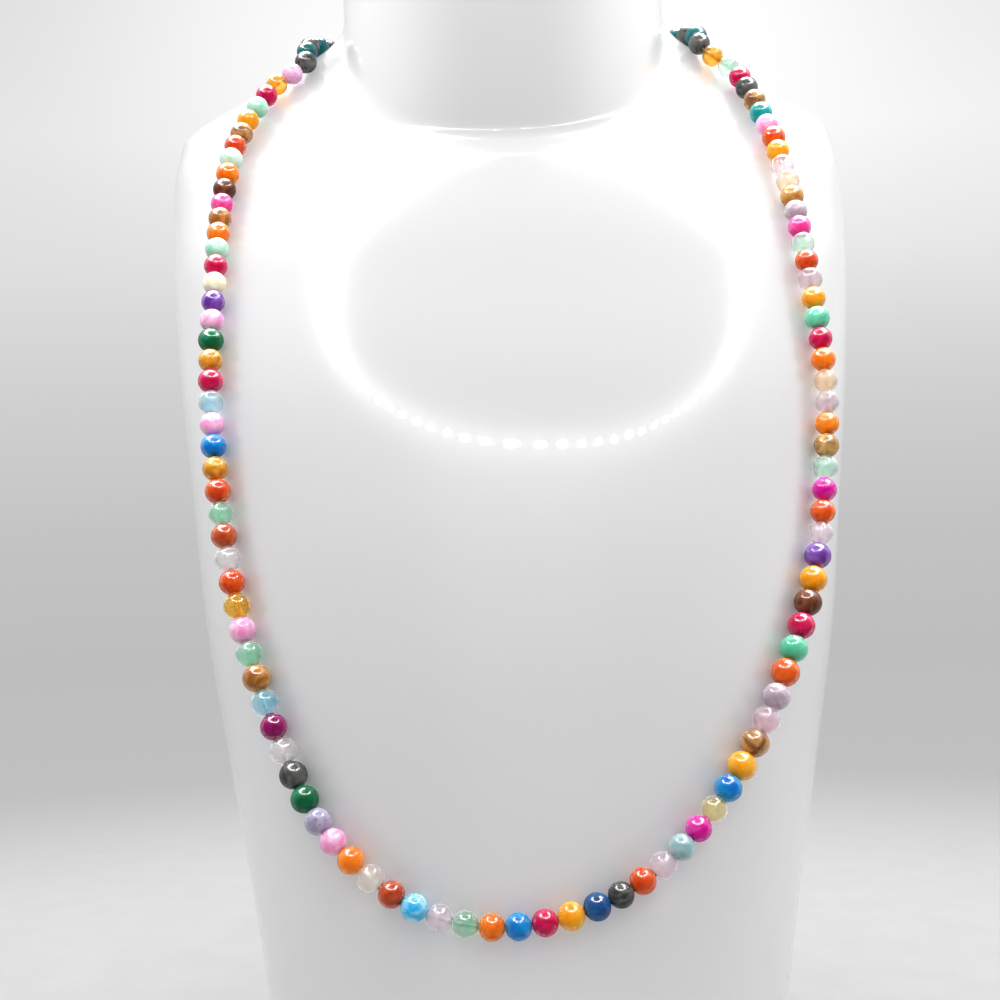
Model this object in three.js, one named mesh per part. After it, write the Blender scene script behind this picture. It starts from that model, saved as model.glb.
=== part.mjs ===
// A beaded necklace of round polished stones, hung on a plain white neck bust.
// Millimetres, +Z up, the bust faces -Y. The origin is the middle of the outer box, on the surface
// that the bust stands on.
import * as THREE from "three";

// The necklace.
const beadDiameter = 6;
const holeDiameter = 1.1; // neighbouring beads touch round the mouths of their drilled holes
const seatGap = 0.5; // left between a bead and the bust
const endGap = 0.3; // left between neighbouring solids of the loop
const claspLength = 10;
const claspDiameter = 5;
const claspNeck = 2.4; // diameter of the clasp's two end faces
const beadSides = 12;

// The neck bust.
const torsoHeight = 284; // up to where the shoulders have run into the neck
const neckHeight = 26; // of bare neck above that
const shoulderWidth = 191;
const chestDepth = 66; // from the shoulder line forward, where it is deepest
const backDepth = 71; // from the shoulder line back, where it is deepest
const lean = 68; // how far back the shoulder line lies at the top
const neckWidth = 92;
const neckDepth = 92;
const edgeRadius = 3; // at the base and at the cut of the neck
const bustSides = 44;
const coarseStep = 15; // height of the facets on the torso
const fineStep = 4; // and on the shoulders

// The bust's sections: heights are shares of the torso's, then come shares of half the shoulder
// width, the chest depth, the back depth and the lean. Where the shoulders run up to the neck the
// width is the collar instead, a share of half the neck's width. Boxiness 2 is an oval, more is
// squarer. Throat is how much deeper the chest is in its middle, as a share of the depth there.
const sections = [
  { height: 0.0, halfWidth: 0.639, chest: 1.0, back: 0.958, lean: 0.0, boxiness: 2.5, throat: 0 },
  { height: 0.106, halfWidth: 0.675, chest: 1.0, back: 0.972, lean: 0.029, boxiness: 2.5, throat: 0 },
  { height: 0.19, halfWidth: 0.715, chest: 1.0, back: 0.986, lean: 0.059, boxiness: 2.5, throat: 0 },
  { height: 0.299, halfWidth: 0.775, chest: 1.0, back: 1.0, lean: 0.132, boxiness: 2.5, throat: 0 },
  { height: 0.405, halfWidth: 0.834, chest: 0.985, back: 1.0, lean: 0.221, boxiness: 2.5, throat: 0 },
  { height: 0.511, halfWidth: 0.875, chest: 0.939, back: 0.972, lean: 0.324, boxiness: 2.5, throat: 0 },
  { height: 0.616, halfWidth: 0.921, chest: 0.864, back: 0.901, lean: 0.456, boxiness: 2.5, throat: 0 },
  { height: 0.722, halfWidth: 0.964, chest: 0.765, back: 0.789, lean: 0.647, boxiness: 2.4, throat: 0 },
  { height: 0.792, halfWidth: 0.991, chest: 0.735, back: 0.676, lean: 0.824, boxiness: 2.08, throat: 0 },
  { height: 0.838, halfWidth: 1.0, chest: 0.659, back: 0.63, lean: 0.926, boxiness: 2, throat: 0.03 },
  { height: 0.866, halfWidth: 0.988, chest: 0.545, back: 0.585, lean: 0.971, boxiness: 2, throat: 0.05 },
  { height: 0.884, halfWidth: 0.972, chest: 0.467, back: 0.55, lean: 0.985, boxiness: 2, throat: 0.04 },
  { height: 0.901, halfWidth: 0.911, chest: 0.394, back: 0.515, lean: 0.985, boxiness: 2, throat: 0.02 },
  { height: 0.926, collar: 1.613, chest: 0.303, back: 0.475, lean: 0.993, boxiness: 2, throat: 0 },
  { height: 0.951, collar: 1.358, chest: 0.227, back: 0.44, lean: 1.0, boxiness: 2, throat: 0 },
  { height: 0.975, collar: 1.104, chest: 0.182, back: 0.41, lean: 1.0, boxiness: 2, throat: 0 },
  { height: 1.0, collar: 0.826, chest: 0.152, back: 0.38, lean: 1.0, boxiness: 2, throat: 0 },
];

// The chosen points of the strand, from the nape over the left of the picture, down the chest and
// back up: degrees round the section from +X, and the share of the torso's height.
const strandRoute = [
  { angle: 90, height: 0.984 },
  { angle: 130, height: 0.983 },
  { angle: 160, height: 0.979 },
  { angle: 180, height: 0.97 },
  { angle: 188.5, height: 0.9463 },
  { angle: 190.2, height: 0.9238 },
  { angle: 194.8, height: 0.8949 },
  { angle: 198.4, height: 0.8637 },
  { angle: 201.2, height: 0.8326 },
  { angle: 203, height: 0.7866 },
  { angle: 205.4, height: 0.7209 },
  { angle: 208.2, height: 0.6152 },
  { angle: 211.9, height: 0.504 },
  { angle: 219, height: 0.3885 },
  { angle: 229.8, height: 0.2789 },
  { angle: 238.7, height: 0.2337 },
  { angle: 249.9, height: 0.2014 },
  { angle: 263.2, height: 0.1883 },
  { angle: 277.6, height: 0.195 },
  { angle: 290.3, height: 0.2178 },
  { angle: 300.5, height: 0.2531 },
  { angle: 309.1, height: 0.2972 },
  { angle: 316.5, height: 0.3473 },
  { angle: 327.7, height: 0.4574 },
  { angle: 332.5, height: 0.5707 },
  { angle: 333.7, height: 0.6771 },
  { angle: 334.8, height: 0.7452 },
  { angle: 336.1, height: 0.795 },
  { angle: 337, height: 0.8264 },
  { angle: 339.8, height: 0.8584 },
  { angle: 344.5, height: 0.8928 },
  { angle: 350.8, height: 0.9257 },
  { angle: 354.7, height: 0.9605 },
  { angle: 363, height: 0.9745 },
  { angle: 383, height: 0.983 },
  { angle: 413, height: 0.986 },
];

// A smooth curve through the values at rising knots: cubic pieces whose slope at each knot is that
// of the line between its two neighbours.
function smooth(knots, values, at) {
  const last = knots.length - 1;
  const slope = (i) => {
    const a = Math.max(i - 1, 0);
    const b = Math.min(i + 1, last);
    return (values[b] - values[a]) / (knots[b] - knots[a]);
  };
  let i = 0;
  while (i < last - 1 && at >= knots[i + 1]) i++;
  const span = knots[i + 1] - knots[i];
  const t = THREE.MathUtils.clamp((at - knots[i]) / span, 0, 1);
  return (
    values[i] * (1 + 2 * t) * (1 - t) ** 2 +
    slope(i) * span * t * (1 - t) ** 2 +
    values[i + 1] * t * t * (3 - 2 * t) -
    slope(i + 1) * span * t * t * (1 - t)
  );
}

// The bust's skin. A section of the torso is a rounded box, wider than it is deep, that swells into
// the neck's oval where that is the larger of the two: softly, but in a fold under the throat. The
// neck's front stays upright where the torso has not leaned back so far yet.
const blend = 12;
const foldBlend = 40;
const sectionHeights = sections.map((row) => row.height * torsoHeight);
const sectionWidths = sections.map((row) =>
  "collar" in row ? (row.collar * neckWidth) / 2 : (row.halfWidth * shoulderWidth) / 2,
);
const column = (name, size, z) =>
  size * smooth(sectionHeights, sections.map((row) => row[name]), z);

function bustRadius(angle, z) {
  const across = Math.abs(Math.cos(angle));
  const along = Math.sin(angle);
  const width = smooth(sectionHeights, sectionWidths, z);
  const middle = along < 0 ? along ** 8 : 0;
  const chest = column("chest", chestDepth, z) * (1 + column("throat", 1, z) * middle);
  const depth = along < 0 ? chest : column("back", backDepth, z);
  const power = column("boxiness", 1, z);
  const torso = ((across / width) ** power + (Math.abs(along) / depth) ** power) ** (-1 / power);
  const forward = (lean - column("lean", lean, z)) * Math.min(along, 0);
  const oval = 1 / Math.hypot((2 * across) / neckWidth, (2 * along) / neckDepth);
  const neck = Math.max(oval + forward, 0);
  const joint = blend + (foldBlend - blend) * middle;
  return (torso ** joint + neck ** joint) ** (1 / joint);
}

function bustPoint(angle, z, inset = 0) {
  const r = bustRadius(angle, z) - inset;
  return new THREE.Vector3(
    r * Math.cos(angle),
    column("lean", lean, z) + r * Math.sin(angle),
    z,
  );
}

function bustNormal(angle, z) {
  const step = 1e-3;
  const round = bustPoint(angle + step, z).sub(bustPoint(angle - step, z));
  const up = bustPoint(angle, z + step).sub(bustPoint(angle, z - step));
  return round.cross(up).normalize();
}

// A closed body from a unit cylinder with level end faces: place(angle, row, share) gives the point
// at that angle and row, with share 1 on the skin and 0 in the middle of an end face.
function carry(sides, rows, place) {
  const body = new THREE.CylinderGeometry(1, 1, 1, sides, rows);
  body.deleteAttribute("uv");
  const points = body.getAttribute("position");
  for (let i = 0; i < points.count; i++) {
    const x = points.getX(i);
    const y = -points.getZ(i);
    const row = Math.round((points.getY(i) + 0.5) * rows);
    const side = Math.round((Math.atan2(y, x) / (2 * Math.PI)) * sides * 4) / 4; // the ends match
    const angle = (THREE.MathUtils.euclideanModulo(side, sides) / sides) * 2 * Math.PI;
    const at = place(angle, row, Math.round(Math.hypot(x, y)));
    points.setXYZ(i, at.x, at.y, at.z);
  }
  body.computeVertexNormals();
  return body;
}

// Levels of the bust's facets, each with how far the skin is drawn in by the rounded edges.
function bustLevels() {
  const top = torsoHeight + neckHeight;
  const fineFrom = sectionHeights[8];
  const coarse = Math.max(2, Math.round((fineFrom - edgeRadius) / coarseStep));
  const fine = Math.max(2, Math.round((torsoHeight - fineFrom) / fineStep));
  const levels = [
    { z: 0, inset: edgeRadius },
    { z: edgeRadius * 0.3, inset: edgeRadius * 0.3 },
  ];
  for (let i = 0; i < coarse; i++)
    levels.push({ z: edgeRadius + ((fineFrom - edgeRadius) * i) / coarse, inset: 0 });
  for (let i = 0; i <= fine; i++)
    levels.push({ z: fineFrom + ((torsoHeight - fineFrom) * i) / fine, inset: 0 });
  levels.push(
    { z: top - edgeRadius, inset: 0 },
    { z: top - edgeRadius * 0.3, inset: edgeRadius * 0.3 },
    { z: top, inset: edgeRadius },
  );
  return levels;
}

function neckBust() {
  const levels = bustLevels();
  return carry(bustSides, levels.length - 1, (angle, row, share) => {
    const { z, inset } = levels[row];
    const skin = bustPoint(angle, z, inset);
    return share ? skin : new THREE.Vector3(0, column("lean", lean, z), z);
  });
}

// The closed line through the middles of the beads, one bead radius and the seat gap off the bust.
// It starts and ends at the nape and gives the point at each distance along it.
function strandLine() {
  const lift = beadDiameter / 2 + seatGap;
  const turn = (rows, by) => rows.map((row) => ({ ...row, angle: row.angle + by }));
  const rows = [...turn(strandRoute.slice(-2), -360), ...strandRoute];
  rows.push(...turn(strandRoute.slice(0, 3), 360));
  const angles = rows.map((row) => THREE.MathUtils.degToRad(row.angle));
  const heights = rows.map((row) => row.height * torsoHeight);
  const seat = (angle, z) => bustPoint(angle, z).addScaledVector(bustNormal(angle, z), lift);
  const knots = [0];
  for (let i = 1; i < rows.length; i++) {
    const step = seat(angles[i], heights[i]).distanceTo(seat(angles[i - 1], heights[i - 1]));
    knots.push(knots[i - 1] + step);
  }
  const from = knots[2];
  const to = knots[2 + strandRoute.length];
  const count = 3000;
  const line = [];
  for (let i = 0; i <= count; i++) {
    const at = from + ((to - from) * i) / count;
    line.push(seat(smooth(knots, angles, at), smooth(knots, heights, at)));
  }
  const along = [0];
  for (let i = 1; i <= count; i++) along.push(along[i - 1] + line[i].distanceTo(line[i - 1]));
  const point = (distance) => {
    let low = 0;
    let high = count;
    while (high - low > 1) {
      const middle = (low + high) >> 1;
      if (along[middle] <= distance) low = middle;
      else high = middle;
    }
    const share = (distance - along[low]) / (along[high] - along[low]);
    return line[low].clone().lerp(line[high], share);
  };
  return { length: along[count], point };
}

const loop = strandLine();

// A strand of touching beads as one body: rings square to the line, three round each bead and one
// shared by each pair of neighbours at the mouths of their holes.
function beadStrand(start, beads, pitch) {
  const mouth = Math.asin(holeDiameter / beadDiameter);
  const profile = [mouth, Math.PI / 4, Math.PI / 2, (3 * Math.PI) / 4].map((tilt) => ({
    along: pitch / 2 - (Math.cos(tilt) * pitch) / (2 * Math.cos(mouth)),
    radius: (beadDiameter / 2) * Math.sin(tilt),
  }));
  const rows = beads * profile.length;
  const rings = [];
  let side = new THREE.Vector3(0, 0, 1);
  for (let row = 0; row <= rows; row++) {
    const { along, radius } = profile[row % profile.length];
    const distance = start + Math.floor(row / profile.length) * pitch + along;
    const centre = loop.point(distance);
    const ahead = loop.point(distance + 0.5).sub(loop.point(distance - 0.5)).normalize();
    side = side.clone().addScaledVector(ahead, -side.dot(ahead)).normalize();
    rings.push({ centre, radius, side, across: side.clone().cross(ahead) });
  }
  return carry(beadSides, rows, (angle, row, share) => {
    const ring = rings[row];
    return ring.centre
      .clone()
      .addScaledVector(ring.side, ring.radius * share * Math.cos(angle))
      .addScaledVector(ring.across, -ring.radius * share * Math.sin(angle));
  });
}

// The clasp at the nape, a plain barrel that closes the loop, turned about its long axis.
function barrelClasp() {
  const slope = (claspDiameter - claspNeck) / 2;
  const outline = [
    [0, -claspLength / 2],
    [claspNeck / 2, -claspLength / 2],
    [claspDiameter / 2, -claspLength / 2 + slope],
    [claspDiameter / 2, claspLength / 2 - slope],
    [claspNeck / 2, claspLength / 2],
    [0, claspLength / 2],
  ];
  return new THREE.LatheGeometry(
    outline.map(([x, y]) => new THREE.Vector2(x, y)),
    beadSides,
  );
}

// The loop is shared out: the clasp in the middle of the nape, then as many beads as fit, with the
// last of their slack taken up evenly, in two strands that meet at the lowest point of the front.
const firstBead = claspLength / 2 + endGap;
const roomForBeads = loop.length - 2 * firstBead - endGap;
const beadReach = beadDiameter * Math.cos(Math.asin(holeDiameter / beadDiameter));
const beadCount = Math.round(roomForBeads / beadReach);
const pitch = roomForBeads / beadCount;
const leftBeads = Math.floor(beadCount / 2);
const rightStart = firstBead + leftBeads * pitch + endGap;

const assembly = new THREE.Group();

function add(name, geometry, look) {
  const mesh = new THREE.Mesh(geometry, new THREE.MeshStandardMaterial(look));
  mesh.name = name;
  assembly.add(mesh);
  return mesh;
}

const stone = { color: 0xc9572e, roughness: 0.12, metalness: 0 };
add("neck_bust", neckBust(), { color: 0xf0f0f4, roughness: 0.15, metalness: 0 });
add("bead_strand_left", beadStrand(firstBead, leftBeads, pitch), stone);
add("bead_strand_right", beadStrand(rightStart, beadCount - leftBeads, pitch), stone);
const clasp = add("clasp", barrelClasp(), { color: 0xc8c8cc, roughness: 0.25, metalness: 1 });
const claspEnds = [loop.length - claspLength / 2, claspLength / 2].map(loop.point);
clasp.position.copy(claspEnds[0]).lerp(claspEnds[1], 0.5);
clasp.quaternion.setFromUnitVectors(
  new THREE.Vector3(0, 1, 0),
  claspEnds[1].clone().sub(claspEnds[0]).normalize(),
);

// The origin is moved to the middle of the outer box, at its foot.
const box = new THREE.Box3().setFromObject(assembly, true);
assembly.position.set(-(box.min.x + box.max.x) / 2, -(box.min.y + box.max.y) / 2, -box.min.z);

const necklaceOnBust = new THREE.Group();
necklaceOnBust.add(assembly);

export default necklaceOnBust;
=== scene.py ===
# A beaded necklace of polished dyed agate on a glossy white neck bust, dressed over its packed
# body. Metres, +Z up, the bust faces -Y. Every new piece is a surface worked out with whole arrays.
import math

import bpy
import numpy as np
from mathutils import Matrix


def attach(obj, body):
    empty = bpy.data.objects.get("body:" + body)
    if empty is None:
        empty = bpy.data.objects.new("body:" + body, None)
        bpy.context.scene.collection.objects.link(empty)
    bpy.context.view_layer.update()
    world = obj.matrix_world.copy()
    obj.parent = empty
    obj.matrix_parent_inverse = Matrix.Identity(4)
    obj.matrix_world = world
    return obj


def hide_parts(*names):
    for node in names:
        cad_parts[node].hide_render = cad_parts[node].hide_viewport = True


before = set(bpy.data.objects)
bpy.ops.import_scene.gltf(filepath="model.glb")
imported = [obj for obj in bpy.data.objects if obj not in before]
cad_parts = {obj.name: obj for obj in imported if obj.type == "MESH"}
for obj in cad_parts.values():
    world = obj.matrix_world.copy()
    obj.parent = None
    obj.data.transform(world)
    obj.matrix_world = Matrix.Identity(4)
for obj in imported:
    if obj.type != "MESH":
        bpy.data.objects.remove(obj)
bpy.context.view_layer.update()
mm = 0.001


# The photographer's view: level, the lens 45 cm in front of the bust, turned 1.4 degrees.
camera = {"at": (-0.0043, -0.4536, 0.145), "turn": (90.0, 1.4, 0.0), "lens": 61.2,
          "sensor": 36.0, "near": 0.01, "far": 20.0}
cameraData = bpy.data.cameras.new("view")
cameraData.lens = camera["lens"]
cameraData.sensor_width = camera["sensor"]
cameraData.clip_start = camera["near"]
cameraData.clip_end = camera["far"]
cameraObject = bpy.data.objects.new("view", cameraData)
bpy.context.collection.objects.link(cameraObject)
cameraObject.location = camera["at"]
cameraObject.rotation_euler = [math.radians(a) for a in camera["turn"]]
bpy.context.scene.camera = cameraObject
bpy.context.scene.view_settings.view_transform = "Standard"
print("camera set")


# Helpers for node trees.

def nodesIn(tree):
    # Empties a node tree and gives two short ways to add nodes and links to it.
    tree.nodes.clear()

    def node(kind, **values):
        made = tree.nodes.new(kind)
        for key, value in values.items():
            if key.startswith("in_"):
                made.inputs[key[3:].replace("_", " ")].default_value = value
            else:
                setattr(made, key, value)
        return made

    def link(a, b):
        tree.links.new(a, b)

    return node, link


def newMaterial(name):
    # An empty node material, with the short ways to fill it.
    material = bpy.data.materials.new(name)
    material.use_nodes = True
    return material, *nodesIn(material.node_tree)


def output(node, link, shader, kind="ShaderNodeOutputMaterial"):
    # The tree's output, fed by its one shader.
    out = node(kind)
    link(shader.outputs[0], out.inputs["Surface"])


def smoothStep(node, link, source, steps):
    # A smooth step of a value: the two values between which it runs, then what it gives at each.
    names = ("in_From_Min", "in_From_Max", "in_To_Min", "in_To_Max")
    made = node("ShaderNodeMapRange", interpolation_type="SMOOTHSTEP", **dict(zip(names, steps)))
    link(source, made.inputs["Value"])
    return made.outputs["Result"]


def noiseTint(node, link, where, stops, **noise):
    # A colour ramp over soft noise on the given coordinates.
    made = node("ShaderNodeTexNoise", **noise)
    link(where, made.inputs["Vector"])
    tint = rampOf(node, stops)
    link(made.outputs["Fac"], tint.inputs["Fac"])
    return tint.outputs["Color"]


def rampOf(node, stops):
    # A colour ramp from (place, grey or colour) pairs.
    ramp = node("ShaderNodeValToRGB")
    elements = ramp.color_ramp.elements
    while len(elements) < len(stops):
        elements.new(0.5)
    for element, (place, value) in zip(elements, stops):
        element.position = place
        rgb = (value, value, value) if isinstance(value, (int, float)) else value
        element.color = (*rgb, 1.0)
    return ramp


def linear(value):
    # The light of a display value between 0 and 1: in proportion near black, else to a power.
    return value / 12.92 if value <= 0.04045 else ((value + 0.055) / 1.055) ** 2.4


# Helpers for surfaces.

def smoothTable(knots, values, at):
    # A smooth curve through the values at rising knots: cubic pieces whose slope at each knot is
    # that of the line between its two neighbours.
    knots, values, at = (np.asarray(a, float) for a in (knots, values, at))
    last = len(knots) - 1
    before = np.maximum(np.arange(last + 1) - 1, 0)
    after = np.minimum(np.arange(last + 1) + 1, last)
    slope = (values[after] - values[before]) / (knots[after] - knots[before])
    i = np.clip(np.searchsorted(knots, at, side="right") - 1, 0, last - 1)
    span = knots[i + 1] - knots[i]
    t = np.clip((at - knots[i]) / span, 0, 1)
    return (values[i] * (1 + 2 * t) * (1 - t) ** 2
            + slope[i] * span * t * (1 - t) ** 2
            + values[i + 1] * t * t * (3 - 2 * t)
            - slope[i + 1] * span * t * t * (1 - t))


def gridFaces(rows, columns, closedRows=False):
    # Quads between neighbouring rows of points that run round, from row and column numbers.
    row = np.arange(rows if closedRows else rows - 1)[:, None]
    column = np.arange(columns)[None, :]
    nextRow = (row + 1) % rows
    nextColumn = (column + 1) % columns
    return np.stack([row * columns + column, row * columns + nextColumn,
                     nextRow * columns + nextColumn, nextRow * columns + column],
                    axis=-1).reshape(-1, 4)


def addPiece(name, points, faces, materials, faceMaterial=None, attributes=()):
    # A mesh object at the origin. points is (n, 3), faces is (m, 4) or a list of arrays.
    mesh = bpy.data.meshes.new(name)
    groups = faces if isinstance(faces, list) else [faces]
    corners = np.concatenate([g.ravel() for g in groups]).astype(np.int32)
    sizes = np.concatenate([np.full(len(g), g.shape[1]) for g in groups])
    starts = np.concatenate([[0], np.cumsum(sizes)[:-1]]).astype(np.int32)
    mesh.vertices.add(len(points))
    mesh.vertices.foreach_set("co", np.ascontiguousarray(points, np.float32).ravel())
    mesh.loops.add(len(corners))
    mesh.loops.foreach_set("vertex_index", corners)
    mesh.polygons.add(len(sizes))
    mesh.polygons.foreach_set("loop_start", starts)
    mesh.polygons.foreach_set("use_smooth", np.ones(len(sizes), bool))
    for material in materials:
        mesh.materials.append(material)
    if faceMaterial is not None:
        mesh.polygons.foreach_set("material_index", np.asarray(faceMaterial, np.int32))
    for label, kind, values in attributes:
        field = {"FLOAT": "value", "FLOAT_COLOR": "color", "FLOAT_VECTOR": "vector"}[kind]
        made = mesh.attributes.new(label, kind, "POINT")
        made.data.foreach_set(field, np.ascontiguousarray(values, np.float32).ravel())
    mesh.update(calc_edges=True)
    mesh.validate()
    piece = bpy.data.objects.new(name, mesh)
    bpy.context.collection.objects.link(piece)
    return piece


# The stage: floor, background and lights.

# The background: its shade by degrees over the horizon, the range of its ramp as sines of that
# angle, and its smooth steps along the parts of the direction. Each "From" row says how high up
# the row that it belongs to sets in.
world = {
    "shades": ((-20, 0.84), (-13, 0.82), (-9, 0.755), (-5, 0.745), (-1, 0.765), (4, 0.82),
               (8, 0.875), (12, 0.90), (17, 0.87), (34, 0.93)),
    "lowest": -0.4, "highest": 0.6,
    "front": (-0.5, 0.25, 0.45, 1.0), "ceiling": (0.35, 0.85, 1.0, 2.6),
    "right": (-0.25, 0.2, 0.0, 0.13), "rightFrom": (0.02, 0.22, 0.0, 1.0),
    "behind": (0.08, 0.30, 0.28, 0.0), "behindFrom": (0.10, 0.28, 0.0, 1.0),
}


def makeWorld():
    # Background light by direction: bright above, greyer towards the horizon and below it.
    studio = bpy.data.worlds.new("studio")
    bpy.context.scene.world = studio
    studio.use_nodes = True
    node, link = nodesIn(studio.node_tree)
    where = node("ShaderNodeTexCoord")
    split = node("ShaderNodeSeparateXYZ")
    link(where.outputs["Generated"], split.inputs[0])
    lowest, highest = world["lowest"], world["highest"]
    height = node("ShaderNodeMapRange", in_From_Min=lowest, in_From_Max=highest)
    link(split.outputs["Z"], height.inputs["Value"])
    ramp = rampOf(node, [((math.sin(math.radians(angle)) - lowest) / (highest - lowest),
                          linear(shade)) for angle, shade in world["shades"]])
    link(height.outputs["Result"], ramp.inputs["Fac"])
    # The side behind the camera is dimmer, so that the bust's lower front falls into soft grey.
    strength = smoothStep(node, link, split.outputs["Y"], world["front"])
    # High up the backdrop brightens to the right, and most behind the neck.
    sideways = node("ShaderNodeMath", operation="ABSOLUTE")
    link(split.outputs["X"], sideways.inputs[0])
    for source, name in ((split.outputs["X"], "right"), (sideways.outputs[0], "behind")):
        gated = node("ShaderNodeMath", operation="MULTIPLY_ADD")
        link(smoothStep(node, link, source, world[name]), gated.inputs[0])
        link(smoothStep(node, link, split.outputs["Z"], world[name + "From"]), gated.inputs[1])
        link(strength, gated.inputs[2])
        strength = gated.outputs[0]
    # The ceiling is brighter than all that the camera sees.
    product = node("ShaderNodeMath", operation="MULTIPLY")
    link(strength, product.inputs[0])
    link(smoothStep(node, link, split.outputs["Z"], world["ceiling"]), product.inputs[1])
    background = node("ShaderNodeBackground")
    link(product.outputs[0], background.inputs["Strength"])
    link(ramp.outputs["Color"], background.inputs["Color"])
    output(node, link, background, "ShaderNodeOutputWorld")


# The floor's form, and the smooth step by which it fades away from the object.
tableTop = {"end": 0.85, "rings": 24, "sides": 96, "level": -0.0002,
            "fade": (0.10, 0.5, 1.0, 0.0)}


def makeFloor():
    # A round table top that fades out: rings of points at growing radius.
    rings = np.linspace(0.0, tableTop["end"], tableTop["rings"] + 1)[1:]
    angle = np.linspace(0, 2 * np.pi, tableTop["sides"], endpoint=False)
    points = np.stack([np.outer(rings, np.cos(angle)), np.outer(rings, np.sin(angle)),
                       np.full((len(rings), len(angle)), tableTop["level"])],
                      axis=-1).reshape(-1, 3)
    points = np.vstack([points, [0, 0, tableTop["level"]]])
    middle = len(points) - 1
    column = np.arange(len(angle))
    fan = np.stack([np.full_like(column, middle), column, (column + 1) % len(angle)], axis=1)
    quads = gridFaces(len(rings), len(angle))[:, [0, 3, 2, 1]]
    material, node, link = newMaterial("pale_floor")
    where = node("ShaderNodeTexCoord").outputs["Object"]
    length = node("ShaderNodeVectorMath", operation="LENGTH")
    link(where, length.inputs[0])
    shader = node("ShaderNodeBsdfPrincipled", in_Roughness=0.6)
    link(noiseTint(node, link, where, [(0.3, 0.45), (0.7, 0.475)], in_Scale=60.0, in_Detail=3.0),
         shader.inputs["Base Color"])
    link(smoothStep(node, link, length.outputs["Value"], tableTop["fade"]), shader.inputs["Alpha"])
    output(node, link, shader)
    floor = addPiece("floor", points, [quads, fan], [material])


# Which pieces the lamps for the stones alone and those for the bust alone shine on.
stonesOnly = bpy.data.collections.new("polished_stones")
bustOnly = bpy.data.collections.new("polished_bust")

# The overhead lamps: the ring that the bust mirrors, by its half widths, the dim plate inside it,
# as a share of the ring, and the wider loop that the stones mirror.
ring = {"height": 0.46, "centre": (0.045, -0.145), "half": (0.215, 0.168), "dots": 60,
        "dotHalf": 0.0045, "power": 66.0, "sparklePower": 110.0, "sparkleDrop": 0.001}
plate = {"share": 0.9, "rise": 0.004, "sides": 64, "power": 0.4}
loop = {"centre": (0.0, -0.14), "radius": 0.25, "size": 0.10, "count": 16, "power": 2.0}

# Soft lamps that nothing mirrors, each for one kind of surface alone: one over the stones, one to
# whiten each flank of the bust, two on its neck, and one that fills the shade below the lowest
# beads. Spread is in degrees.
softLamps = {
    "stone_lamp": {"at": (0.0, -0.22, 0.46), "towards": (0.0, 0.02, 0.26), "size": 0.30,
                   "spread": 80, "power": 0.45, "for": stonesOnly},
    "flank_lamp_left": {"at": (-0.55, -0.14, 0.19), "towards": (-0.08, -0.02, 0.175),
                        "size": 0.30, "spread": 36, "power": 0.048, "for": bustOnly},
    "flank_lamp_right": {"at": (0.55, -0.14, 0.20), "towards": (0.08, -0.02, 0.185),
                         "size": 0.30, "spread": 36, "power": 0.054, "for": bustOnly},
    "neck_lamp_left": {"at": (-0.42, -0.11, 0.35), "towards": (-0.03, 0.0, 0.305),
                       "size": 0.12, "spread": 17, "power": 0.019, "for": bustOnly},
    "neck_lamp_right": {"at": (0.42, -0.11, 0.35), "towards": (0.03, 0.0, 0.305),
                        "size": 0.12, "spread": 17, "power": 0.018, "for": bustOnly},
    "foot_lamp": {"at": (0.0, -0.40, 0.03), "towards": (0.0, -0.09, 0.042),
                  "size": 0.05, "spread": 12, "power": 0.0006, "for": bustOnly},
}


def glowMaterial(name, power):
    # An even glow.
    material, node, link = newMaterial(name)
    output(node, link, node("ShaderNodeEmission", in_Strength=power))
    return material


def ovalPoints(count, share, height):
    # Points at even angles on the ring's oval, drawn in to a share of it, at one height.
    angle = 2 * np.pi * np.arange(count) / count
    return np.stack([ring["centre"][0] + share * ring["half"][0] * np.cos(angle),
                     ring["centre"][1] + share * ring["half"][1] * np.sin(angle),
                     np.full(count, height)], axis=1)


def makeRingLight():
    # The ring of lamps overhead: small level squares at even angles on an oval.
    corner = np.array([(-1, -1, 0), (-1, 1, 0), (1, 1, 0), (1, -1, 0)]) * ring["dotHalf"]
    points = (ovalPoints(ring["dots"], 1.0, ring["height"])[:, None] + corner).reshape(-1, 3)
    faces = np.arange(len(points)).reshape(-1, 4)
    lamps = addPiece("ring_light", points, faces, [glowMaterial("lamp_glow", ring["power"])])
    # The dim plate that the lamps sit round: a fan from the middle, drawn in a little.
    rise = ring["height"] + plate["rise"]
    sides = plate["sides"]
    column = np.arange(sides)
    fan = np.stack([np.full(sides, sides), (column + 1) % sides, column], axis=1)
    disc = addPiece("light_plate",
                    np.vstack([ovalPoints(sides, plate["share"], rise), [*ring["centre"], rise]]),
                    fan, [glowMaterial("plate_glow", plate["power"])])
    # Twice the lamps: one set lights what is dull, the other is what the bust's polish mirrors.
    mirrored = addPiece("ring_sparkle", points - (0, 0, ring["sparkleDrop"]), faces,
                        [glowMaterial("lamp_sparkle", ring["sparklePower"])])
    mirrored.visible_diffuse = False
    lamps.visible_glossy = False
    mirrored.light_linking.receiver_collection = bustOnly
    # The stones cast no shade of these lamps, which keeps the shade beside them as pale as it is.
    lamps.light_linking.blocker_collection = bustOnly
    for overhead in (lamps, mirrored, disc):
        overhead.visible_camera = False
        overhead.visible_shadow = False


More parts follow.
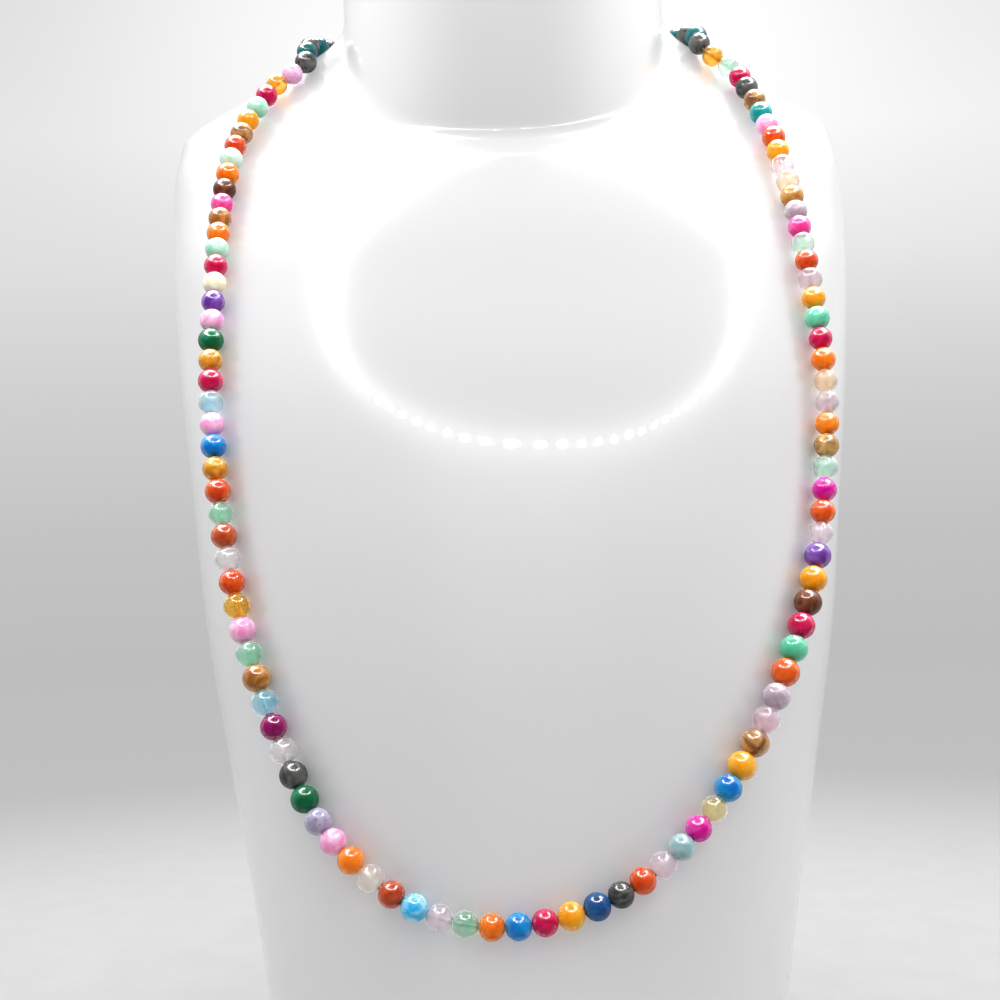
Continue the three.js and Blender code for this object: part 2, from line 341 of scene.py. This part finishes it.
def addLamp(name, at, towards, size, power, surfaces):
    # A soft round lamp at one place that shines towards another, on one kind of surface alone.
    data = bpy.data.lights.new(name, "AREA")
    data.shape = "DISK"
    data.size = size
    data.energy = power
    lamp = bpy.data.objects.new(name, data)
    bpy.context.collection.objects.link(lamp)
    lamp.location = at
    aim = np.asarray(towards, float) - np.asarray(at, float)
    flat = math.hypot(aim[0], aim[1])
    lamp.rotation_euler = (math.atan2(flat, -aim[2]), 0.0, math.atan2(aim[1], aim[0]) - math.pi / 2)
    lamp.visible_camera = False
    lamp.light_linking.receiver_collection = surfaces
    return lamp


def makeSoftLamps():
    # One lamp for each row of the table, which no polish mirrors.
    for name, row in softLamps.items():
        lamp = addLamp(name, row["at"], row["towards"], row["size"], row["power"], row["for"])
        lamp.data.spread = math.radians(row["spread"])
        lamp.visible_glossy = False


def makeLoopLamps():
    # A circle of small lamps that the round polish of each stone mirrors as a bright loop.
    for turn in range(loop["count"]):
        angle = 2 * math.pi * turn / loop["count"]
        at = (loop["centre"][0] + loop["radius"] * math.cos(angle),
              loop["centre"][1] + loop["radius"] * math.sin(angle), ring["height"])
        lamp = addLamp("loop_lamp_%02d" % turn, at, (at[0], at[1], 0.0), loop["size"],
                       loop["power"], stonesOnly)
        lamp.visible_diffuse = False
        lamp.visible_transmission = False
        # Seen straight in the polish only, not in the light that the stones pass on.
        lamp.data.use_nodes = True
        tree = lamp.data.node_tree
        path = tree.nodes.new("ShaderNodeLightPath")
        straight = tree.nodes.new("ShaderNodeMath")
        straight.operation = "LESS_THAN"
        straight.inputs[1].default_value = 0.5
        tree.links.new(path.outputs["Diffuse Depth"], straight.inputs[0])
        tree.links.new(straight.outputs[0], tree.nodes["Emission"].inputs["Strength"])


makeWorld()
makeFloor()
makeRingLight()
makeSoftLamps()
makeLoopLamps()
print("stage set")


# The neck bust.

# Sections: heights are shares of the torso's height, then come shares of half the shoulder width,
# the chest depth, the back depth and the lean, how square the section is, and how much deeper the
# chest is in its middle.
bust = {
    "torsoHeight": 284 * mm, "neckHeight": 26 * mm, "halfShoulders": 95.5 * mm,
    "chestDepth": 66 * mm, "backDepth": 71 * mm, "lean": 68 * mm, "halfNeck": 46 * mm,
    "edgeRadius": 3 * mm, "blend": 12, "foldBlend": 40, "foldPower": 8, "shift": -25.66 * mm,
    "turns": 192, "rows": 210, "rimRows": 7, "capShares": (0.3, 0.7, 0.97),
    "columns": ("height", "halfWidth", "chest", "back", "lean", "boxiness", "throat"),
    "sections": np.array([
        (0.000, 0.639, 1.000, 0.958, 0.000, 2.50, 0.000),
        (0.106, 0.675, 1.000, 0.972, 0.029, 2.50, 0.000),
        (0.190, 0.715, 1.000, 0.986, 0.059, 2.50, 0.000),
        (0.299, 0.775, 1.000, 1.000, 0.132, 2.50, 0.000),
        (0.405, 0.834, 0.985, 1.000, 0.221, 2.50, 0.000),
        (0.511, 0.875, 0.939, 0.972, 0.324, 2.50, 0.000),
        (0.616, 0.921, 0.864, 0.901, 0.456, 2.50, 0.000),
        (0.722, 0.964, 0.765, 0.789, 0.647, 2.40, 0.000),
        (0.792, 0.991, 0.735, 0.676, 0.824, 2.08, 0.000),
        (0.838, 1.000, 0.659, 0.630, 0.926, 2.00, 0.030),
        (0.866, 0.988, 0.545, 0.585, 0.971, 2.00, 0.050),
        (0.884, 0.972, 0.467, 0.550, 0.985, 2.00, 0.040),
        (0.901, 0.911, 0.394, 0.515, 0.985, 2.00, 0.020),
        (0.926, 0.777, 0.303, 0.475, 0.993, 2.00, 0.000),
        (0.951, 0.654, 0.227, 0.440, 1.000, 2.00, 0.000),
        (0.975, 0.532, 0.182, 0.410, 1.000, 2.00, 0.000),
        (1.000, 0.398, 0.152, 0.380, 1.000, 2.00, 0.000),
    ]),
}


def bustColumn(name, size, z):
    # One column of the sections as a smooth curve over the height, times the size it is a share of.
    table = bust["sections"]
    values = table[:, bust["columns"].index(name)]
    return size * smoothTable(table[:, 0] * bust["torsoHeight"], values, z)


def leanAt(z):
    # How far back the section's middle lies.
    return bustColumn("lean", bust["lean"], z)


def bustPoint(angle, z, inset=0.0):
    # A section is a rounded box, wider than deep, that swells into the neck's circle where that
    # is larger. The box's radius is the sum of its two ratios to a power, to minus one over that
    # power. The skin's is the sum of both radii to a high power, to one over that power, which is
    # higher still under the throat. The shoulder line leans back with height, and the neck's
    # front stays upright where the torso has not leaned back so far yet.
    across, along = np.abs(np.cos(angle)), np.sin(angle)
    width = bustColumn("halfWidth", bust["halfShoulders"], z)
    middle = np.where(along < 0, along, 0.0) ** bust["foldPower"]
    chest = bustColumn("chest", bust["chestDepth"], z) * (1 + bustColumn("throat", 1.0, z) * middle)
    depth = np.where(along < 0, chest, bustColumn("back", bust["backDepth"], z))
    power = bustColumn("boxiness", 1.0, z)
    torso = ((across / width) ** power + (np.abs(along) / depth) ** power) ** (-1 / power)
    joint = bust["blend"] + (bust["foldBlend"] - bust["blend"]) * middle
    forward = (bust["lean"] - leanAt(z)) * np.minimum(along, 0.0)
    neck = np.maximum(bust["halfNeck"] + forward, 0.0)
    radius = (torso ** joint + neck ** joint) ** (1 / joint) - inset
    return np.stack([radius * np.cos(angle), leanAt(z) + radius * along + bust["shift"],
                     z + 0 * angle], axis=-1)


def bustNormal(angle, z):
    # Square to the two directions on the skin, found by small steps of the angle and the height.
    turn, rise = 1e-4, 1e-5
    sideways = bustPoint(angle + turn, z) - bustPoint(angle - turn, z)
    up = bustPoint(angle, z + rise) - bustPoint(angle, z - rise)
    normal = np.cross(sideways, up)
    return normal / np.linalg.norm(normal, axis=-1, keepdims=True)


def bustMaterial():
    # Glossy moulded white plastic with the faintest cloud in its colour and skin.
    material, node, link = newMaterial("gloss_white_plastic")
    where = node("ShaderNodeTexCoord").outputs["Object"]
    ripple = node("ShaderNodeTexNoise", in_Scale=22.0, in_Detail=1.0)
    link(where, ripple.inputs["Vector"])
    bump = node("ShaderNodeBump", in_Strength=0.05, in_Distance=0.002)
    link(ripple.outputs["Fac"], bump.inputs["Height"])
    shader = node("ShaderNodeBsdfPrincipled", in_Roughness=0.20, in_IOR=1.6,
                  in_Specular_IOR_Level=0.25, in_Coat_Weight=0.6)
    tint = noiseTint(node, link, where, [(0.3, (0.735, 0.735, 0.745)), (0.7, (0.755, 0.755, 0.765))],
                     in_Scale=9.0, in_Detail=3.0)
    link(tint, shader.inputs["Base Color"])
    link(bump.outputs["Normal"], shader.inputs["Normal"])
    output(node, link, shader)
    return material


def makeBust():
    # Rows of points round the section at rising heights: quarter circles at both rims, then flat
    # end faces drawn in to one middle point each.
    edge, top = bust["edgeRadius"], bust["torsoHeight"] + bust["neckHeight"]
    turn = np.linspace(0, np.pi / 2, bust["rimRows"])
    rimHeight, rimInset = edge * (1 - np.cos(turn)), edge * (1 - np.sin(turn))
    middle = np.linspace(edge, top - edge, bust["rows"])[1:-1]
    heights = np.concatenate([rimHeight, middle, top - rimHeight[::-1]])
    insets = np.concatenate([rimInset, 0 * middle, rimInset[::-1]])
    angle = np.linspace(0, 2 * np.pi, bust["turns"], endpoint=False)
    skin = bustPoint(angle[None, :], heights[:, None], insets[:, None])
    shares = np.array(bust["capShares"])[:, None, None]
    footHub, headHub = (np.array([0.0, leanAt(z) + bust["shift"], z]) for z in (0.0, top))
    rows = np.concatenate([footHub + (skin[0] - footHub) * shares, skin,
                           headHub + (skin[-1] - headHub) * shares[::-1]])
    count, columns = rows.shape[:2]
    points = np.vstack([rows.reshape(-1, 3), footHub, headHub])
    column = np.arange(columns)
    nextColumn = (column + 1) % columns
    foot = np.stack([np.full(columns, count * columns), nextColumn, column], axis=1)
    head = np.stack([np.full(columns, count * columns + 1), (count - 1) * columns + column,
                     (count - 1) * columns + nextColumn], axis=1)
    quads = gridFaces(count, columns)
    piece = addPiece("bust_shell", points, [quads, np.vstack([foot, head])], [bustMaterial()])
    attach(piece, "root")
    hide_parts("neck_bust")
    bustOnly.objects.link(piece)


makeBust()
print("bust made")


# The strand.

# The chosen points of the strand, degrees round the section and share of the torso's height.
route = np.array([
    (90, 0.984), (130, 0.983), (160, 0.979), (180, 0.97), (188.5, 0.9463), (190.2, 0.9238),
    (194.8, 0.8949), (198.4, 0.8637), (201.2, 0.8326), (203, 0.7866), (205.4, 0.7209),
    (208.2, 0.6152), (211.9, 0.504), (219, 0.3885), (229.8, 0.2789), (238.7, 0.2337),
    (249.9, 0.2014), (263.2, 0.1883), (277.6, 0.195), (290.3, 0.2178), (300.5, 0.2531),
    (309.1, 0.2972), (316.5, 0.3473), (327.7, 0.4574), (332.5, 0.5707), (333.7, 0.6771),
    (334.8, 0.7452), (336.1, 0.795), (337, 0.8264), (339.8, 0.8584), (344.5, 0.8928),
    (350.8, 0.9257), (354.7, 0.9605), (363, 0.9745), (383, 0.983), (413, 0.986),
])
strand = {"beadDiameter": 6 * mm, "holeDiameter": 1.1 * mm, "seatGap": 0.5 * mm,
          "endGap": 0.3 * mm, "claspLength": 10 * mm, "count": 128, "lineSteps": 3000}


def seatPoint(angle, z):
    # A bead's middle over the skin: half a bead and the seat gap out along the normal.
    lift = strand["beadDiameter"] / 2 + strand["seatGap"]
    return bustPoint(angle, z) + bustNormal(angle, z) * lift


def strandLine():
    # The closed line through the beads' middles: the smooth curve through the chosen points in
    # angle and height, one bead radius and the seat gap off the skin, from the nape round.
    rows = np.vstack([route[-2:] - (360, 0), route, route[:3] + (360, 0)])
    angles, heights = np.radians(rows[:, 0]), rows[:, 1] * bust["torsoHeight"]
    chosen = seatPoint(angles, heights)
    knots = np.concatenate([[0], np.cumsum(np.linalg.norm(np.diff(chosen, axis=0), axis=1))])
    at = np.linspace(knots[2], knots[2 + len(route)], strand["lineSteps"] + 1)
    line = seatPoint(smoothTable(knots, angles, at), smoothTable(knots, heights, at))
    along = np.concatenate([[0], np.cumsum(np.linalg.norm(np.diff(line, axis=0), axis=1))])
    return line, along


linePoints, lineDistances = strandLine()
loopLength = lineDistances[-1]


def linePoint(distance):
    # The point at a distance along the closed line.
    wrapped = np.mod(distance, loopLength)
    return np.stack([np.interp(wrapped, lineDistances, linePoints[:, i]) for i in range(3)],
                    axis=-1)


def spokesAround(ahead, turns, aside=(0.3, 0.5, 0.81)):
    # Unit vectors square to each direction at even turns round it. The first is square to the
    # direction aside as well.
    side = np.cross(ahead, aside)
    side /= np.linalg.norm(side, axis=-1, keepdims=True)
    across = np.cross(ahead, side)
    angle = np.linspace(0, 2 * np.pi, turns, endpoint=False)[:, None]
    return side[..., None, :] * np.cos(angle) + across[..., None, :] * np.sin(angle)


# How far along the line the picture's first bead lies, how many hidden beads come before it, how
# far apart the picture's beads are, one value for each ten of them, and how uneven they are. The
# hidden beads share out what is left on either side of the clasp.
chart = {"firstAt": 93.1 * mm, "before": 15, "perSpacing": 10, "uneven": 0.022, "limit": 1.6,
         "spacing": np.array([5.9, 5.82, 5.9, 6.1, 5.82, 5.74, 6.24, 5.74, 5.86, 5.95]) * mm,
         "seed": 7}

# A bead's form: points on its outside and its hole's wall, turns round it, how much wider than
# long it is, how much that varies, the mouth as a share of the hole, its length and its wall's as
# shares of its place, and how far apart in the noise the beads lie.
bead = {"arcPoints": 18, "wallPoints": 4, "turns": 24, "bulge": 1.045, "uneven": 0.012,
        "limit": 1.5, "mouth": 1.25, "length": 0.995, "wall": 0.93, "grainReach": 40}

# Each kind of stone: its colour, the colour of its clouds and veins, how strong those are, and
# whether it is "deep", "glowing" or "clear".
stones = {
    "amber": ((0.95, 0.40, 0.01), (0.80, 0.27, 0.0), 0.6, "glowing"),
    "amberBrown": ((0.84, 0.40, 0.03), (0.45, 0.16, 0.015), 0.9, "glowing"),
    "amberClear": ((0.97, 0.58, 0.09), (0.88, 0.34, 0.01), 0.7, "clear"),
    "blue": ((0.0, 0.17, 0.55), (0.01, 0.35, 0.70), 0.6, "glowing"),
    "brown": ((0.09, 0.022, 0.012), (0.26, 0.085, 0.03), 0.8, "deep"),
    "brownAmber": ((0.36, 0.13, 0.02), (0.62, 0.30, 0.07), 0.9, "glowing"),
    "brownRed": ((0.44, 0.045, 0.012), (0.64, 0.13, 0.025), 0.7, "glowing"),
    "clearPink": ((0.90, 0.74, 0.82), (0.98, 0.93, 0.95), 0.8, "clear"),
    "clearWhite": ((0.86, 0.83, 0.84), (0.97, 0.95, 0.95), 0.6, "clear"),
    "cream": ((0.93, 0.80, 0.55), (0.97, 0.93, 0.80), 0.6, "glowing"),
    "creamClear": ((0.95, 0.91, 0.84), (0.99, 0.97, 0.94), 0.6, "clear"),
    "creamYellow": ((0.88, 0.78, 0.42), (0.96, 0.92, 0.72), 0.6, "clear"),
    "crimson": ((0.50, 0.0, 0.06), (0.74, 0.015, 0.13), 0.6, "glowing"),
    "darkGreen": ((0.0, 0.10, 0.035), (0.01, 0.24, 0.10), 0.7, "deep"),
    "darkGrey": ((0.03, 0.032, 0.03), (0.14, 0.14, 0.13), 0.8, "deep"),
    "darkMagenta": ((0.22, 0.0, 0.09), (0.40, 0.01, 0.18), 0.6, "glowing"),
    "darkTeal": ((0.0, 0.09, 0.10), (0.0, 0.2, 0.2), 0.6, "deep"),
    "green": ((0.10, 0.55, 0.34), (0.22, 0.66, 0.46), 0.7, "glowing"),
    "greyPink": ((0.70, 0.57, 0.61), (0.91, 0.84, 0.87), 0.8, "clear"),
    "hotPink": ((0.80, 0.03, 0.28), (0.92, 0.20, 0.50), 0.7, "glowing"),
    "lilacGrey": ((0.44, 0.35, 0.42), (0.65, 0.57, 0.63), 0.7, "glowing"),
    "lilacSoft": ((0.72, 0.36, 0.62), (0.88, 0.62, 0.80), 0.7, "glowing"),
    "lilacSpeck": ((0.36, 0.32, 0.47), (0.52, 0.48, 0.60), 0.8, "glowing"),
    "magenta": ((0.62, 0.0, 0.30), (0.85, 0.08, 0.50), 0.6, "glowing"),
    "mint": ((0.34, 0.68, 0.50), (0.62, 0.86, 0.74), 0.7, "glowing"),
    "mintClear": ((0.56, 0.86, 0.70), (0.87, 0.97, 0.91), 0.9, "clear"),
    "mintPale": ((0.52, 0.76, 0.62), (0.74, 0.88, 0.78), 0.6, "glowing"),
    "mintStripe": ((0.44, 0.80, 0.60), (0.72, 0.92, 0.80), 0.5, "clear"),
    "navy": ((0.01, 0.045, 0.17), (0.01, 0.13, 0.36), 0.8, "deep"),
    "orange": ((0.90, 0.18, 0.0), (0.96, 0.36, 0.02), 0.6, "glowing"),
    "orangeDeep": ((0.82, 0.14, 0.0), (0.94, 0.30, 0.02), 0.6, "glowing"),
    "orangeRed": ((0.70, 0.07, 0.005), (0.88, 0.20, 0.01), 0.6, "glowing"),
    "orangeYellow": ((0.94, 0.36, 0.005), (0.98, 0.52, 0.04), 0.6, "glowing"),
    "peach": ((0.94, 0.69, 0.46), (0.98, 0.89, 0.76), 0.8, "clear"),
    "pink": ((0.90, 0.32, 0.60), (0.96, 0.62, 0.80), 0.8, "glowing"),
    "pinkWhite": ((0.90, 0.60, 0.70), (0.97, 0.91, 0.94), 1.0, "clear"),
    "purple": ((0.13, 0.03, 0.30), (0.28, 0.12, 0.50), 0.7, "glowing"),
    "redOrange": ((0.62, 0.045, 0.005), (0.82, 0.14, 0.01), 0.6, "glowing"),
    "sage": ((0.47, 0.74, 0.58), (0.71, 0.88, 0.77), 0.6, "clear"),
    "skyBlue": ((0.03, 0.50, 0.85), (0.45, 0.78, 0.92), 0.8, "glowing"),
    "skyClear": ((0.42, 0.74, 0.86), (0.80, 0.92, 0.95), 0.9, "clear"),
    "spotted": ((0.64, 0.38, 0.13), (0.26, 0.12, 0.04), 1.0, "deep"),
    "tanBrown": ((0.58, 0.31, 0.10), (0.22, 0.09, 0.03), 1.0, "glowing"),
    "teal": ((0.0, 0.30, 0.30), (0.03, 0.46, 0.46), 0.6, "glowing"),
    "tealGrey": ((0.27, 0.45, 0.47), (0.45, 0.61, 0.63), 0.6, "glowing"),
    "yellow": ((0.96, 0.60, 0.09), (0.86, 0.48, 0.07), 0.6, "clear"),
}

# The kinds of the hundred beads that the picture shows, charted from its upper left, down
# and round to its upper right, ten to a line.
charted = """
darkGrey lilacSoft amberClear crimson mint amber tanBrown redOrange mintPale orange
brown hotPink brownAmber orangeDeep mint crimson cream purple pink darkGreen
amberBrown crimson skyClear pink blue amberBrown redOrange mintStripe brownRed clearWhite
redOrange yellow pink mintStripe brownAmber skyClear darkMagenta clearWhite darkGrey darkGreen
lilacSpeck pink orange creamClear brownRed skyBlue clearPink sage orangeDeep blue
crimson orangeYellow navy darkGrey redOrange clearPink tealGrey magenta creamYellow blue
orangeYellow tanBrown pinkWhite lilacGrey orangeRed green crimson brown amber purple
clearPink orangeRed magenta mintClear spotted orange greyPink peach orange crimson
green amber greyPink redOrange mintClear hotPink lilacGrey brownAmber peach clearPink
orangeYellow redOrange pink teal tanBrown darkGrey crimson mintClear amberClear darkGrey
""".split()

# How much of a stone is dotted with dark specks.
specked = {"lilacSpeck": 1.0, "spotted": 0.9, "tanBrown": 0.7, "yellow": 0.6, "brownAmber": 0.3}

# Each look of stone: how much light goes through it, how much glows in it and how far, in
# millimetres, how rough it is within and how much it bends light.
stoneLooks = {
    "deep": {"transmission": 0.05, "glow": 0.3, "reach": 0.5, "roughness": 0.3, "bend": 1.4},
    "glowing": {"transmission": 0.15, "glow": 0.9, "reach": 1.6, "roughness": 0.25, "bend": 1.3},
    "clear": {"transmission": 0.84, "glow": 0.9, "reach": 2.0, "roughness": 0.09, "bend": 1.09},
}

# The hidden beads repeat these kinds, from those next to the charted ones on.
hidden = """
darkTeal darkGrey darkTeal darkGrey crimson mint amber purple orange skyBlue cream hotPink
""".split()
print(len(charted), "charted beads")


def stoneMaterial(kind):
    # Polished dyed agate under a clear polish: the colour and the cloud colour of each bead mixed
    # by soft noise in the bead's own coordinates, with dark specks where the stone has them. Deep
    # stones let a little light in, glowing ones more, and clear ones most of it.
    look = stoneLooks[kind]
    material, node, link = newMaterial("agate_" + kind)
    grain, main, vein, strength, speckled = (
        node("ShaderNodeAttribute", attribute_name=name)
        for name in ("grain", "stone", "vein", "clouds", "specks"))
    cloud = noiseTint(node, link, grain.outputs["Vector"], [(0.42, 0.0), (0.60, 1.0)],
                      in_Scale=0.8, in_Detail=4.0, in_Roughness=0.55, in_Distortion=1.2)
    amount = node("ShaderNodeMath", operation="MULTIPLY")
    link(cloud, amount.inputs[0])
    link(strength.outputs["Fac"], amount.inputs[1])
    mix = node("ShaderNodeMix", data_type="RGBA")
    link(amount.outputs[0], mix.inputs["Factor"])
    link(main.outputs["Color"], mix.inputs[6])
    link(vein.outputs["Color"], mix.inputs[7])
    cells = node("ShaderNodeTexVoronoi", in_Scale=3.4)
    link(grain.outputs["Vector"], cells.inputs["Vector"])
    dot = rampOf(node, [(0.14, 1.0), (0.20, 0.0)])
    link(cells.outputs["Distance"], dot.inputs["Fac"])
    speck = node("ShaderNodeMath", operation="MULTIPLY")
    link(dot.outputs["Color"], speck.inputs[0])
    link(speckled.outputs["Fac"], speck.inputs[1])
    dark = node("ShaderNodeMix", data_type="RGBA")
    dark.inputs[7].default_value = (0.015, 0.01, 0.012, 1.0)
    link(speck.outputs[0], dark.inputs["Factor"])
    link(mix.outputs[2], dark.inputs[6])
    shader = node(
        "ShaderNodeBsdfPrincipled", in_Roughness=look["roughness"], in_IOR=look["bend"],
        in_Specular_IOR_Level=0.0, in_Coat_Weight=0.30, in_Coat_Roughness=0.12, in_Coat_IOR=1.5,
        in_Transmission_Weight=look["transmission"], in_Subsurface_Weight=look["glow"],
        in_Subsurface_Radius=(1.0, 1.0, 1.0), in_Subsurface_Scale=look["reach"] * mm)
    link(dark.outputs[2], shader.inputs["Base Color"])
    output(node, link, shader)
    return material


def beadPlaces(chance):
    # Each bead's middle and width along the line: even spacing for each ten charted beads, shared
    # out a little unevenly, and the hidden beads on either side from the clasp's ends.
    first = strand["claspLength"] / 2 + strand["endGap"]
    last = loopLength - first
    before, each = chart["before"], chart["perSpacing"]
    spacing = np.repeat(chart["spacing"], each)
    start = chart["firstAt"] - spacing[0] / 2
    end = start + spacing.sum()
    after = strand["count"] - len(charted) - before
    widths = np.concatenate([np.full(before, (start - first) / before), spacing,
                             np.full(after, (last - end) / after)])
    swing = chance.standard_normal(len(widths)).clip(-chart["limit"], chart["limit"])
    edges = np.concatenate([[0], np.cumsum(widths)])
    shared = np.concatenate([[0], np.cumsum(widths * (1 + chart["uneven"] * swing))])
    # The slack of the uneven widths is taken out smoothly over each ten beads.
    anchors = np.unique([0, *(before + np.arange(0, len(spacing) + 1, each)), len(widths)])
    scaled = np.interp(np.arange(len(edges)), anchors, edges[anchors] - shared[anchors]) + shared
    return first + (scaled[1:] + scaled[:-1]) / 2, np.diff(scaled)


def makeBeads():
    # Each bead is a drilled ball: a closed profile, the outer half circle from mouth to mouth and
    # the straight wall of the hole, turned round the line's direction at its middle.
    chance = np.random.default_rng(chart["seed"])
    middles, widths = beadPlaces(chance)
    count, turns, wall = len(middles), bead["turns"], bead["wallPoints"]
    hole = strand["holeDiameter"] / 2
    kinds = [hidden[i % len(hidden)] for i in range(chart["before"])][::-1] + charted
    kinds += [hidden[i % len(hidden)] for i in range(count - len(kinds))]
    swing = chance.standard_normal(count).clip(-bead["limit"], bead["limit"])
    outer = widths / 2 * bead["bulge"] * (1 + bead["uneven"] * swing)
    mouth = np.arcsin(hole * bead["mouth"] / outer)[:, None]
    tilt = mouth + (np.pi - 2 * mouth) * np.linspace(0, 1, bead["arcPoints"])
    half = widths[:, None] / 2
    lengths = np.hstack([-np.cos(tilt) / np.cos(mouth) * half * bead["length"],
                         np.linspace(bead["wall"], -bead["wall"], wall) * half])
    radii = np.hstack([outer[:, None] * np.sin(tilt), np.full((count, wall), hole)])
    rows = lengths.shape[1]
    step = 0.5 * mm
    ahead = linePoint(middles + step) - linePoint(middles - step)
    ahead /= np.linalg.norm(ahead, axis=-1, keepdims=True)
    local = (lengths[:, :, None, None] * ahead[:, None, None]
             + radii[:, :, None, None] * spokesAround(ahead, turns)[:, None])
    points = linePoint(middles)[:, None, None] + local
    # The grain: each bead's own coordinates in bead radii, turned at random and set far apart.
    spin = np.linalg.qr(chance.standard_normal((count, 3, 3)))[0]
    grain = np.einsum("brtk,bkj->brtj", local / outer[:, None, None, None], spin)
    grain = grain + chance.uniform(-bead["grainReach"], bead["grainReach"], (count, 1, 1, 3))
    faces = gridFaces(rows, turns, closedRows=True)[:, ::-1]
    looks = list(stoneLooks)
    materials = [stoneMaterial(kind) for kind in looks]

    def perPoint(values):
        # One row of values for each bead, given to all its points.
        values = np.asarray(values, float)
        return np.broadcast_to(values[:, None, None], (len(values), rows, turns, values.shape[-1]))

    leftCount = count // 2
    for name, node, part in (("beads_left", "bead_strand_left", slice(0, leftCount)),
                             ("beads_right", "bead_strand_right", slice(leftCount, count))):
        mains, veins, clouds, chosen = zip(*(stones[kind] for kind in kinds[part]))
        offset = (np.arange(len(chosen)) * rows * turns)[:, None, None]
        allFaces = (faces[None] + offset).reshape(-1, 4)
        lookNumber = np.repeat([looks.index(look) for look in chosen], len(faces))
        opaque = np.ones((len(chosen), 1))
        specks = [[specked.get(kind, 0.0)] for kind in kinds[part]]
        piece = addPiece(
            name, points[part].reshape(-1, 3), allFaces, materials, lookNumber,
            [("stone", "FLOAT_COLOR", perPoint(np.hstack([mains, opaque]))),
             ("vein", "FLOAT_COLOR", perPoint(np.hstack([veins, opaque]))),
             ("clouds", "FLOAT", perPoint(np.array(clouds)[:, None])),
             ("specks", "FLOAT", perPoint(specks)),
             ("grain", "FLOAT_VECTOR", grain[part])])
        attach(piece, "root")
        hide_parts(node)
        stonesOnly.objects.link(piece)


def plainMaterial(name, dark, light, roughness, metallic, scale):
    # One finish whose brightness varies a little with noise on the object's coordinates.
    material, node, link = newMaterial(name)
    where = node("ShaderNodeTexCoord").outputs["Object"]
    shader = node("ShaderNodeBsdfPrincipled", in_Roughness=roughness, in_Metallic=metallic)
    link(noiseTint(node, link, where, [(0.35, dark), (0.65, light)], in_Scale=scale,
                   in_Detail=3.0), shader.inputs["Base Color"])
    output(node, link, shader)
    return material


# The stringing line inside the holes, and its looks.
threadForm = {"radius": 0.28 * mm, "steps": 900, "sides": 8, "dark": 0.62, "light": 0.72,
              "roughness": 0.5, "noise": 900.0}


def makeThread():
    # A closed tube of even radius round the whole loop.
    path = linePoint(np.linspace(0, loopLength, threadForm["steps"], endpoint=False))
    ahead = np.roll(path, -1, axis=0) - np.roll(path, 1, axis=0)
    ahead /= np.linalg.norm(ahead, axis=-1, keepdims=True)
    rings = path[:, None] + threadForm["radius"] * spokesAround(ahead, threadForm["sides"])
    faces = gridFaces(len(path), threadForm["sides"], closedRows=True)[:, ::-1]
    material = plainMaterial("thread_white", threadForm["dark"], threadForm["light"],
                             threadForm["roughness"], 0.0, threadForm["noise"])
    thread = addPiece("thread", rings.reshape(-1, 3), faces, [material])
    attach(thread, "root")


# The clasp's looks, and its half profile from one end to the middle, as distance from the middle
# and radius in millimetres: a bored end, a cone, the barrel and half of the groove round it.
barrel = {"sides": 40, "dark": 0.62, "light": 0.72, "roughness": 0.22, "noise": 700.0,
          "halfProfile": np.array([(-5.0, 0.45), (-5.0, 1.2), (-4.8, 1.45), (-4.5, 1.6),
                                   (-3.75, 2.35), (-3.55, 2.48), (-3.2, 2.5), (-0.35, 2.5),
                                   (-0.2, 2.32)])}


def makeClasp():
    # The barrel at the nape: its profile turned round the line between the strand's ends.
    half = barrel["halfProfile"] * mm
    profile = np.vstack([half, half[::-1] * (-1, 1)])
    ends = linePoint(np.array([loopLength - strand["claspLength"] / 2,
                               strand["claspLength"] / 2]))
    axis = ends[1] - ends[0]
    axis = axis / np.linalg.norm(axis)
    path = ends.mean(axis=0) + profile[:, :1] * axis
    spokes = spokesAround(axis, barrel["sides"], (0, 0, 1))
    rings = path[:, None] + profile[:, 1, None, None] * spokes
    faces = gridFaces(len(path), barrel["sides"], closedRows=True)[:, ::-1]
    material = plainMaterial("clasp_silver", barrel["dark"], barrel["light"],
                             barrel["roughness"], 1.0, barrel["noise"])
    clasp = addPiece("barrel_clasp", rings.reshape(-1, 3), faces, [material])
    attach(clasp, "root")
    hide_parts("clasp")


makeBeads()
print("beads made")
makeThread()
makeClasp()
print("thread and clasp made")
